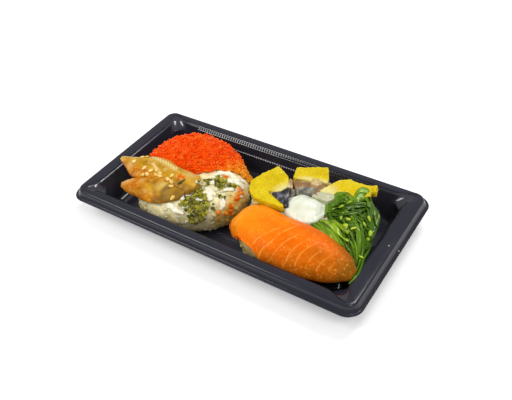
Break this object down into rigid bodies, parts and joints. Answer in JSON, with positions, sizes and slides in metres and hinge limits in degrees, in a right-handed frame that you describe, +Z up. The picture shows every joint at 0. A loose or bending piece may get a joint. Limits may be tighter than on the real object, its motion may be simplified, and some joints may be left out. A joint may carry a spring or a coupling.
{
  "type": "takeaway sushi tray",
  "caption": "Shallow black thermoformed tray holding pressed rice rings topped with fish roe, glazed eel, salmon, herring roe, cream and seaweed salad.",
  "frame": {"origin": "on the surface that the tray stands on, below the middle of its rim", "axes": "+X along the tray to its right end, +Y across it to the back, +Z up"},
  "size_m": [0.22, 0.1168, 0.035],
  "materials": {
    "black_plastic": "glossy thermoformed sheet",
    "rice": "moist cooked rice",
    "orange_roe": "wet translucent beads",
    "glazed_eel": "sticky glaze",
    "salmon": "moist raw fish",
    "yellow_roe": "dense fine grains",
    "herring": "moist silver-skinned flesh",
    "cream": "soft whipped cream",
    "seaweed": "wet seaweed strands"
  },
  "bodies": {
    "root": {"tray": "black_plastic", "rice_left": "rice", "rice_right": "rice", "flying_fish_roe": "orange_roe", "eel_back": "glazed_eel", "eel_front": "glazed_eel", "salmon_slice": "salmon", "cream_dollop": "cream", "seaweed_salad": "seaweed", "herring_roe_1": "yellow_roe", "herring_fillet_1": "herring", "herring_roe_2": "yellow_roe", "herring_fillet_2": "herring", "herring_roe_3": "yellow_roe", "herring_fillet_3": "herring"}
  },
  "joints": []
}
